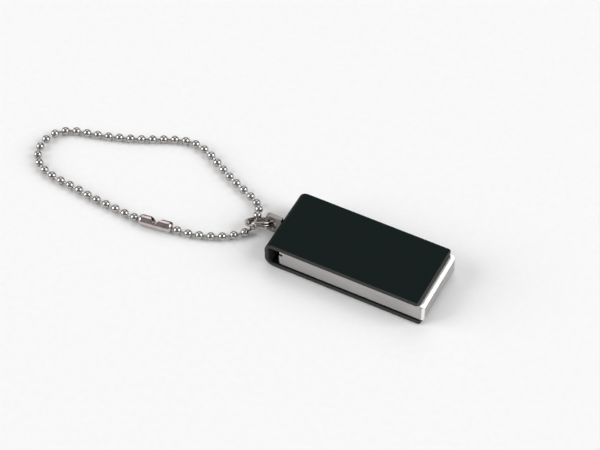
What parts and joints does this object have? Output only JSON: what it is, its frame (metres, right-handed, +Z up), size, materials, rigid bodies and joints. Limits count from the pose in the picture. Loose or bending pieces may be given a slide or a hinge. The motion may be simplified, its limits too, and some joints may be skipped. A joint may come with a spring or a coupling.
{
  "type": "usb flash drive",
  "caption": "Mini swivel flash drive: slim metal drive body turning in a folded black metal cover, with a lug, split ring, ball chain loop and tube clasp.",
  "frame": {"origin": "under the middle of the drive (cover, stowed body and lug), on the surface it lies on", "axes": "+X from the lug towards the cover's open end, +Z up off the surface"},
  "size_m": [0.0764, 0.0209, 0.0051],
  "materials": {
    "cover_black": "satin",
    "body_silver": "satin",
    "nickel": "bright",
    "steel": "satin",
    "washer_plastic": "matte",
    "black_plastic": "matte",
    "adhesive": "matte",
    "resin": "matte",
    "board_green": "gloss",
    "gold": "bright",
    "silicon": "gloss",
    "ceramic": "matte"
  },
  "bodies": {
    "cover_body": {"cover": "cover_black", "upper_pivot_stud": "steel", "lower_pivot_stud": "steel", "upper_washer": "washer_plastic", "lower_washer": "washer_plastic", "lug": "nickel", "lug_retainer": "steel"},
    "drive_body": {"body_tray": "body_silver", "top_plate": "body_silver", "plate_adhesive": "adhesive", "filler_frame": "black_plastic", "upper_bushing": "steel", "lower_bushing": "steel", "module_adhesive": "adhesive", "encapsulant": "resin", "circuit_board": "board_green", "power_contacts": "gold", "data_contacts": "gold", "controller_die": "silicon", "lower_flash_die": "silicon", "upper_flash_die": "silicon", "crystal": "steel", "capacitors": "ceramic", "resistors": "black_plastic"},
    "key_ring_body": {"split_ring": "nickel", "ball_chain": "nickel", "clasp": "nickel", "held_beads": "nickel"}
  },
  "joints": [
    {"name": "drive_swivel", "type": "hinge", "parent": "cover_body", "child": "drive_body", "pos_m": [0.00967, 0, 0.00258], "axis": [0, 0, 1], "continuous": true},
    {"name": "ring_swing", "type": "hinge", "parent": "cover_body", "child": "key_ring_body", "pos_m": [-0.01486, 0, 0.00255], "axis": [0, 0, 1], "range_deg": [-18, 5]}
  ]
}
